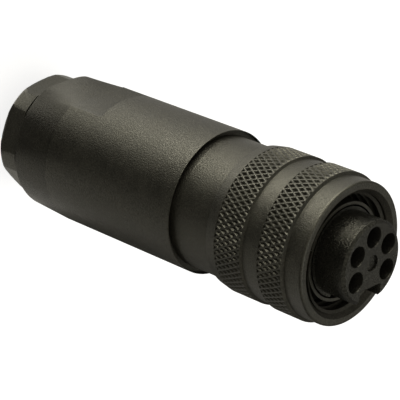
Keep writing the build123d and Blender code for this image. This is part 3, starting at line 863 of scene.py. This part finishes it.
def make_contact_insert():
    keyway_rear = insert_front - KEYWAY_LENGTH
    seat = body_front + INSERT_SEAT_DEPTH
    collar_front = sleeve_front + SLEEVE_RIM_ADVANCE
    edge = rounded_outline(
        (NOSE_EDGE_CHAMFER + 2 * GUARD, insert_front, 0),
        (NOSE_EDGE_CHAMFER, insert_front, NOSE_EDGE_ROUNDING),
        (0, insert_front - NOSE_EDGE_CHAMFER, NOSE_EDGE_ROUNDING),
        (0, collar_front, 0))
    loops = [(keyed_loop(NOSE_RADIUS, inset), height) for inset, height in edge]
    loops += [(keyed_loop(COLLAR_RADIUS), collar_front),
              (keyed_loop(COLLAR_RADIUS), keyway_rear),
              (filled_loop(COLLAR_RADIUS), keyway_rear),
              (filled_loop(COLLAR_RADIUS), seat),
              (filled_loop(FLANGE_RADIUS), seat),
              (filled_loop(FLANGE_RADIUS), insert_rear)]
    mesh = bmesh.new()
    outer = add_skin(mesh, [[Vector((x, y, height)) for x, y in loop] for loop, height in loops])
    front_rings = [outer[0]]
    rear_rings = [outer[-1]]

    hole = [(CONTACT_HOLE_RADIUS + CONTACT_LEAD_WIDTH, insert_front),
            (CONTACT_HOLE_RADIUS, insert_front - CONTACT_LEAD_DEPTH),
            (CONTACT_HOLE_RADIUS, insert_rear)]
    columns = even_angles(HOLE_COLUMNS)
    places = [pi + CONTACT_SPACING * (k - (CONTACT_COUNT - 1) / 2) for k in range(CONTACT_COUNT)]
    centres = polar_row(CONTACT_CIRCLE_RADIUS, 0, places)
    for centre in centres:
        rings = add_skin(mesh, [[centre + p for p in polar_row(radius, height, columns)]
                                for radius, height in hole])
        front_rings.append(rings[0])
        rear_rings.append(rings[-1])

    recess = [(RECESS_RADIUS, insert_front), (RECESS_RADIUS, insert_front - RECESS_DEPTH)]
    rings = add_skin(mesh, [polar_row(radius, height, columns) for radius, height in recess])
    front_rings.append(rings[0])
    mesh.faces.new(rings[-1])
    fill_flat(mesh, front_rings)
    fill_flat(mesh, rear_rings)
    insert = finish_piece("contact_insert_moulded", mesh, insert_plastic, "insert_plastic", "housing",
                          "contact_insert")

    # Painted shade: the walls of the socket holes lose most of their gloss, so they look dark
    def hole_painted_shade(x, y, height):
        inside = any(hypot(x - c.x, y - c.y) < CONTACT_HOLE_RADIUS + MERGE_DISTANCE for c in centres)
        return CONTACT_HOLE_PAINTED_SHADE * inside

    return set_painted_shade(insert, hole_painted_shade)


make_clamp_nut()
make_rear_body()
make_front_body()
make_coupling_ring()
make_contact_insert()

# Finishes of the frame nodes that keep their own shape
node_finish = {
    "thrust_washer": insert_plastic, "clamp_cage": insert_plastic, "insert_retainer": insert_plastic,
    "spacer_half_a": insert_plastic, "spacer_half_b": insert_plastic,
    "cable_seal": seal_rubber, "body_seal": seal_rubber, "face_seal": seal_rubber,
    "retaining_clip": spring_steel,
}
node_finish.update({f"contact_{number}": contact_gold for number in range(1, CONTACT_COUNT + 1)})
for node, material in node_finish.items():
    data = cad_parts[node].data
    data.materials.clear()
    data.materials.append(material)


# Studio: pale floor, a soft lamp, cards for the gloss, and the camera at the photograph's angle.
# The floor's size is in metres, the rest in millimetres.

FLOOR_SIZE = 4.0
FLOOR_GAP = 0.2
FLOOR_GLOW = 0.8
FLOOR_WHITE = "#B4B4B4"
SOFTBOX_PLACE = (60, 100, 420)
SOFTBOX_AIM = (0, 0, 30)
SOFTBOX_SIDE = 260
SOFTBOX_BRIGHTNESS = 2.0
STUDIO_LIGHT = "#FFFBF0"
WORLD_LIGHT = 0.55
CAMERA_PLACE = Vector((-99.28, -173.34, 190.55)) * MM
CAMERA_TURN = radians(60.0)
CAMERA_DIP = radians(38.57)
CAMERA_ROLL = radians(111.9)
CAMERA_LENS = 171.89
CAMERA_SENSOR = 36.0
CAMERA_NEAREST = 10.0


def stage_mesh(name, mesh, material):
    """Object of the studio, which isn't part of the connector."""
    data = bpy.data.meshes.new(name)
    mesh.to_mesh(data)
    mesh.free()
    data.materials.append(material)
    prop = bpy.data.objects.new(name, data)
    bpy.context.scene.collection.objects.link(prop)
    return prop


def make_floor():
    """Matt white floor; a little glow makes it white to the eye and keeps the shadow on it.

    It lies low enough for the clamp nut to screw out above it.
    """
    material, tree, shader, _ = new_material("studio_floor_matt_white")
    rays = add_node(tree, "ShaderNodeLightPath").outputs
    mirrored = add_node(tree, "ShaderNodeMath",
                        {0: rays["Is Glossy Ray"], 1: rays["Is Transmission Ray"]}, operation="MAXIMUM")
    seen = add_node(tree, "ShaderNodeMath", {0: rays["Is Camera Ray"], 1: mirrored},
                    operation="MAXIMUM")
    glow = add_node(tree, "ShaderNodeMath", {0: seen, 1: FLOOR_GLOW}, operation="MULTIPLY")
    tree.links.new(glow.outputs[0], shader.inputs["Emission Strength"])
    shader.inputs["Emission Color"].default_value = linear("#FFFFFF")
    shader.inputs["Base Color"].default_value = linear(FLOOR_WHITE)
    shader.inputs["Roughness"].default_value = 1.0
    shader.inputs["Specular IOR Level"].default_value = 0.0
    mesh = bmesh.new()
    place_below = Matrix.Translation((0, 0, -(NUT_TRAVEL + FLOOR_GAP) * MM))
    bmesh.ops.create_grid(mesh, x_segments=1, y_segments=1, size=FLOOR_SIZE / 2, matrix=place_below)
    stage_mesh("studio_floor", mesh, material)


# Cards that shape the gloss, as in product photography. The radii at which those that lie flat begin
# and end are named for what mirrors them.
CARD_HEIGHT = 0.3
CARD_STEP = 5
NUT_START = 7.6
TAPER_START = 14
REAR_START = 22
MIDDLE_START = 33
NECK_START = 52
SIDE_RING_START = 60
RING_START = 64
CARDS_END = 150
FRONT_CARD = 155

# Brightness against white, first and last angle round the object in degrees, inner and outer radius
FLAT_CARDS = (
    ("foot_fill", 0.85, 120, 205, NUT_START, TAPER_START),
    ("foot_key", 1.9, 205, 226, NUT_START, TAPER_START),
    ("foot_flag", 0.2, 226, 276, NUT_START, TAPER_START),
    ("key_taper", 2.05, 156, 212, TAPER_START, REAR_START),
    ("key_near", 2.4, 157, 212, REAR_START, MIDDLE_START),
    ("key_middle", 1.1, 160, 212, MIDDLE_START, NECK_START),
    ("key_neck", 5.0, 160, 184, NECK_START, RING_START),
    ("key_neck_peak", 26.0, 184, 202, NECK_START, RING_START),
    ("key_neck_edge", 0.4, 202, 212, NECK_START, RING_START),
    ("key_far", 2.1, 160, 212, RING_START, CARDS_END),
    ("key_soft", 1.2, 144, 160, MIDDLE_START, CARDS_END),
    ("key_edge", 0.6, 212, 222, TAPER_START, CARDS_END),
    ("flag_floor", 0.08, 222, 276, TAPER_START, CARDS_END),
    ("side_taper", 0.75, 276, 350, NUT_START, REAR_START),
    ("side_near", 0.46, 276, 350, REAR_START, MIDDLE_START),
    ("side_far", 0.5, 276, 342, MIDDLE_START, SIDE_RING_START),
    ("side_front", 0.72, 276, 362, SIDE_RING_START, CARDS_END),
    ("back_near", 0.05, 350, 440, NUT_START, MIDDLE_START),
    ("back_far", 0.05, 342, 440, MIDDLE_START, SIDE_RING_START),
    ("back_front", 0.18, 362, 440, SIDE_RING_START, CARDS_END),
    ("fill_back", 0.45, 440, 480, NUT_START, NECK_START),
    ("fill_front", 0.62, 440, 480, NECK_START, CARDS_END),
    ("fill_taper", 0.5, 480, 516, TAPER_START, REAR_START),
    ("fill_flat", 0.62, 480, 510, REAR_START, MIDDLE_START),
    ("fill_middle", 0.75, 480, 504, MIDDLE_START, NECK_START),
    ("fill_far", 0.8, 480, 504, NECK_START, CARDS_END),
)

# Brightness against white, first and last angle, radius, and the heights of the lower and upper edge
UPRIGHT_CARDS = (
    ("key_upright", 10.5, 158, 212, CARDS_END, CARD_HEIGHT, 110),
    ("flag_upright", 0.06, 212, 290, CARDS_END, CARD_HEIGHT, 120),
    ("back_upright", 0.1, 290, 410, CARDS_END, CARD_HEIGHT, 110),
    ("rear_upright", 0.1, 410, 500, CARDS_END, CARD_HEIGHT, 60),
    ("front_upright", 0.25, 370, 480, FRONT_CARD, 40, 240),
)


def make_card(name, brightness, start, end, near, far):
    """Bent glowing card between two edges, each a (radius, height); only gloss shows it."""
    material = bpy.data.materials.new(name)
    material.use_nodes = True
    tree = material.node_tree
    tree.nodes.clear()
    glow = add_node(tree, "ShaderNodeEmission",
                    {"Color": linear(STUDIO_LIGHT), "Strength": brightness})
    add_node(tree, "ShaderNodeOutputMaterial", {"Surface": glow})
    steps = ceil((end - start) / CARD_STEP)
    angles = [radians(start + (end - start) * k / steps) for k in range(steps + 1)]
    mesh = bmesh.new()
    inner = [mesh.verts.new(p * MM) for p in polar_row(*near, angles)]
    outer = [mesh.verts.new(p * MM) for p in polar_row(*far, angles)]
    for k in range(steps):
        mesh.faces.new((inner[k], outer[k], outer[k + 1], inner[k + 1]))
    card = stage_mesh(name, mesh, material)
    card.visible_camera = False
    card.visible_diffuse = False
    card.visible_transmission = False
    card.visible_shadow = False


def make_cards():
    for *card, near, far in FLAT_CARDS:
        make_card(*card, (near, CARD_HEIGHT), (far, CARD_HEIGHT))
    for *card, radius, low, high in UPRIGHT_CARDS:
        make_card(*card, (radius, low), (radius, high))


def make_softbox():
    """Square area lamp above the object; the brightness of its face is given against white."""
    lamp = bpy.data.lights.new("top_softbox", "AREA")
    lamp.shape = "SQUARE"
    lamp.size = SOFTBOX_SIDE * MM
    lamp.energy = SOFTBOX_BRIGHTNESS * pi * lamp.size ** 2
    lit = bpy.data.objects.new("top_softbox", lamp)
    place = Vector(SOFTBOX_PLACE)
    lit.location = place * MM
    lit.rotation_euler = (Vector(SOFTBOX_AIM) - place).to_track_quat("-Z", "Y").to_euler()
    lit.visible_camera = False
    bpy.context.scene.collection.objects.link(lit)


def make_world():
    world = bpy.data.worlds.new("studio_world")
    bpy.context.scene.world = world
    world.use_nodes = True
    tree = world.node_tree
    tree.nodes.clear()
    ambient = add_node(tree, "ShaderNodeBackground",
                       {"Color": linear(STUDIO_LIGHT), "Strength": WORLD_LIGHT})
    add_node(tree, "ShaderNodeOutputWorld", {"Surface": ambient})


def make_camera():
    lens = bpy.data.cameras.new("camera")
    lens.lens = CAMERA_LENS
    lens.sensor_width = CAMERA_SENSOR
    lens.clip_start = CAMERA_NEAREST * MM
    camera = bpy.data.objects.new("camera", lens)
    camera.location = CAMERA_PLACE
    turn = Matrix.Rotation(CAMERA_TURN - pi / 2, 3, "Z")
    dip = Matrix.Rotation(pi / 2 - CAMERA_DIP, 3, "X")
    roll = Matrix.Rotation(CAMERA_ROLL, 3, "Z")
    camera.rotation_euler = (turn @ dip @ roll).to_euler()
    bpy.context.scene.collection.objects.link(camera)
    bpy.context.scene.camera = camera


make_floor()
make_world()
make_camera()
make_cards()
make_softbox()

bpy.context.scene.view_settings.view_transform = "Standard"
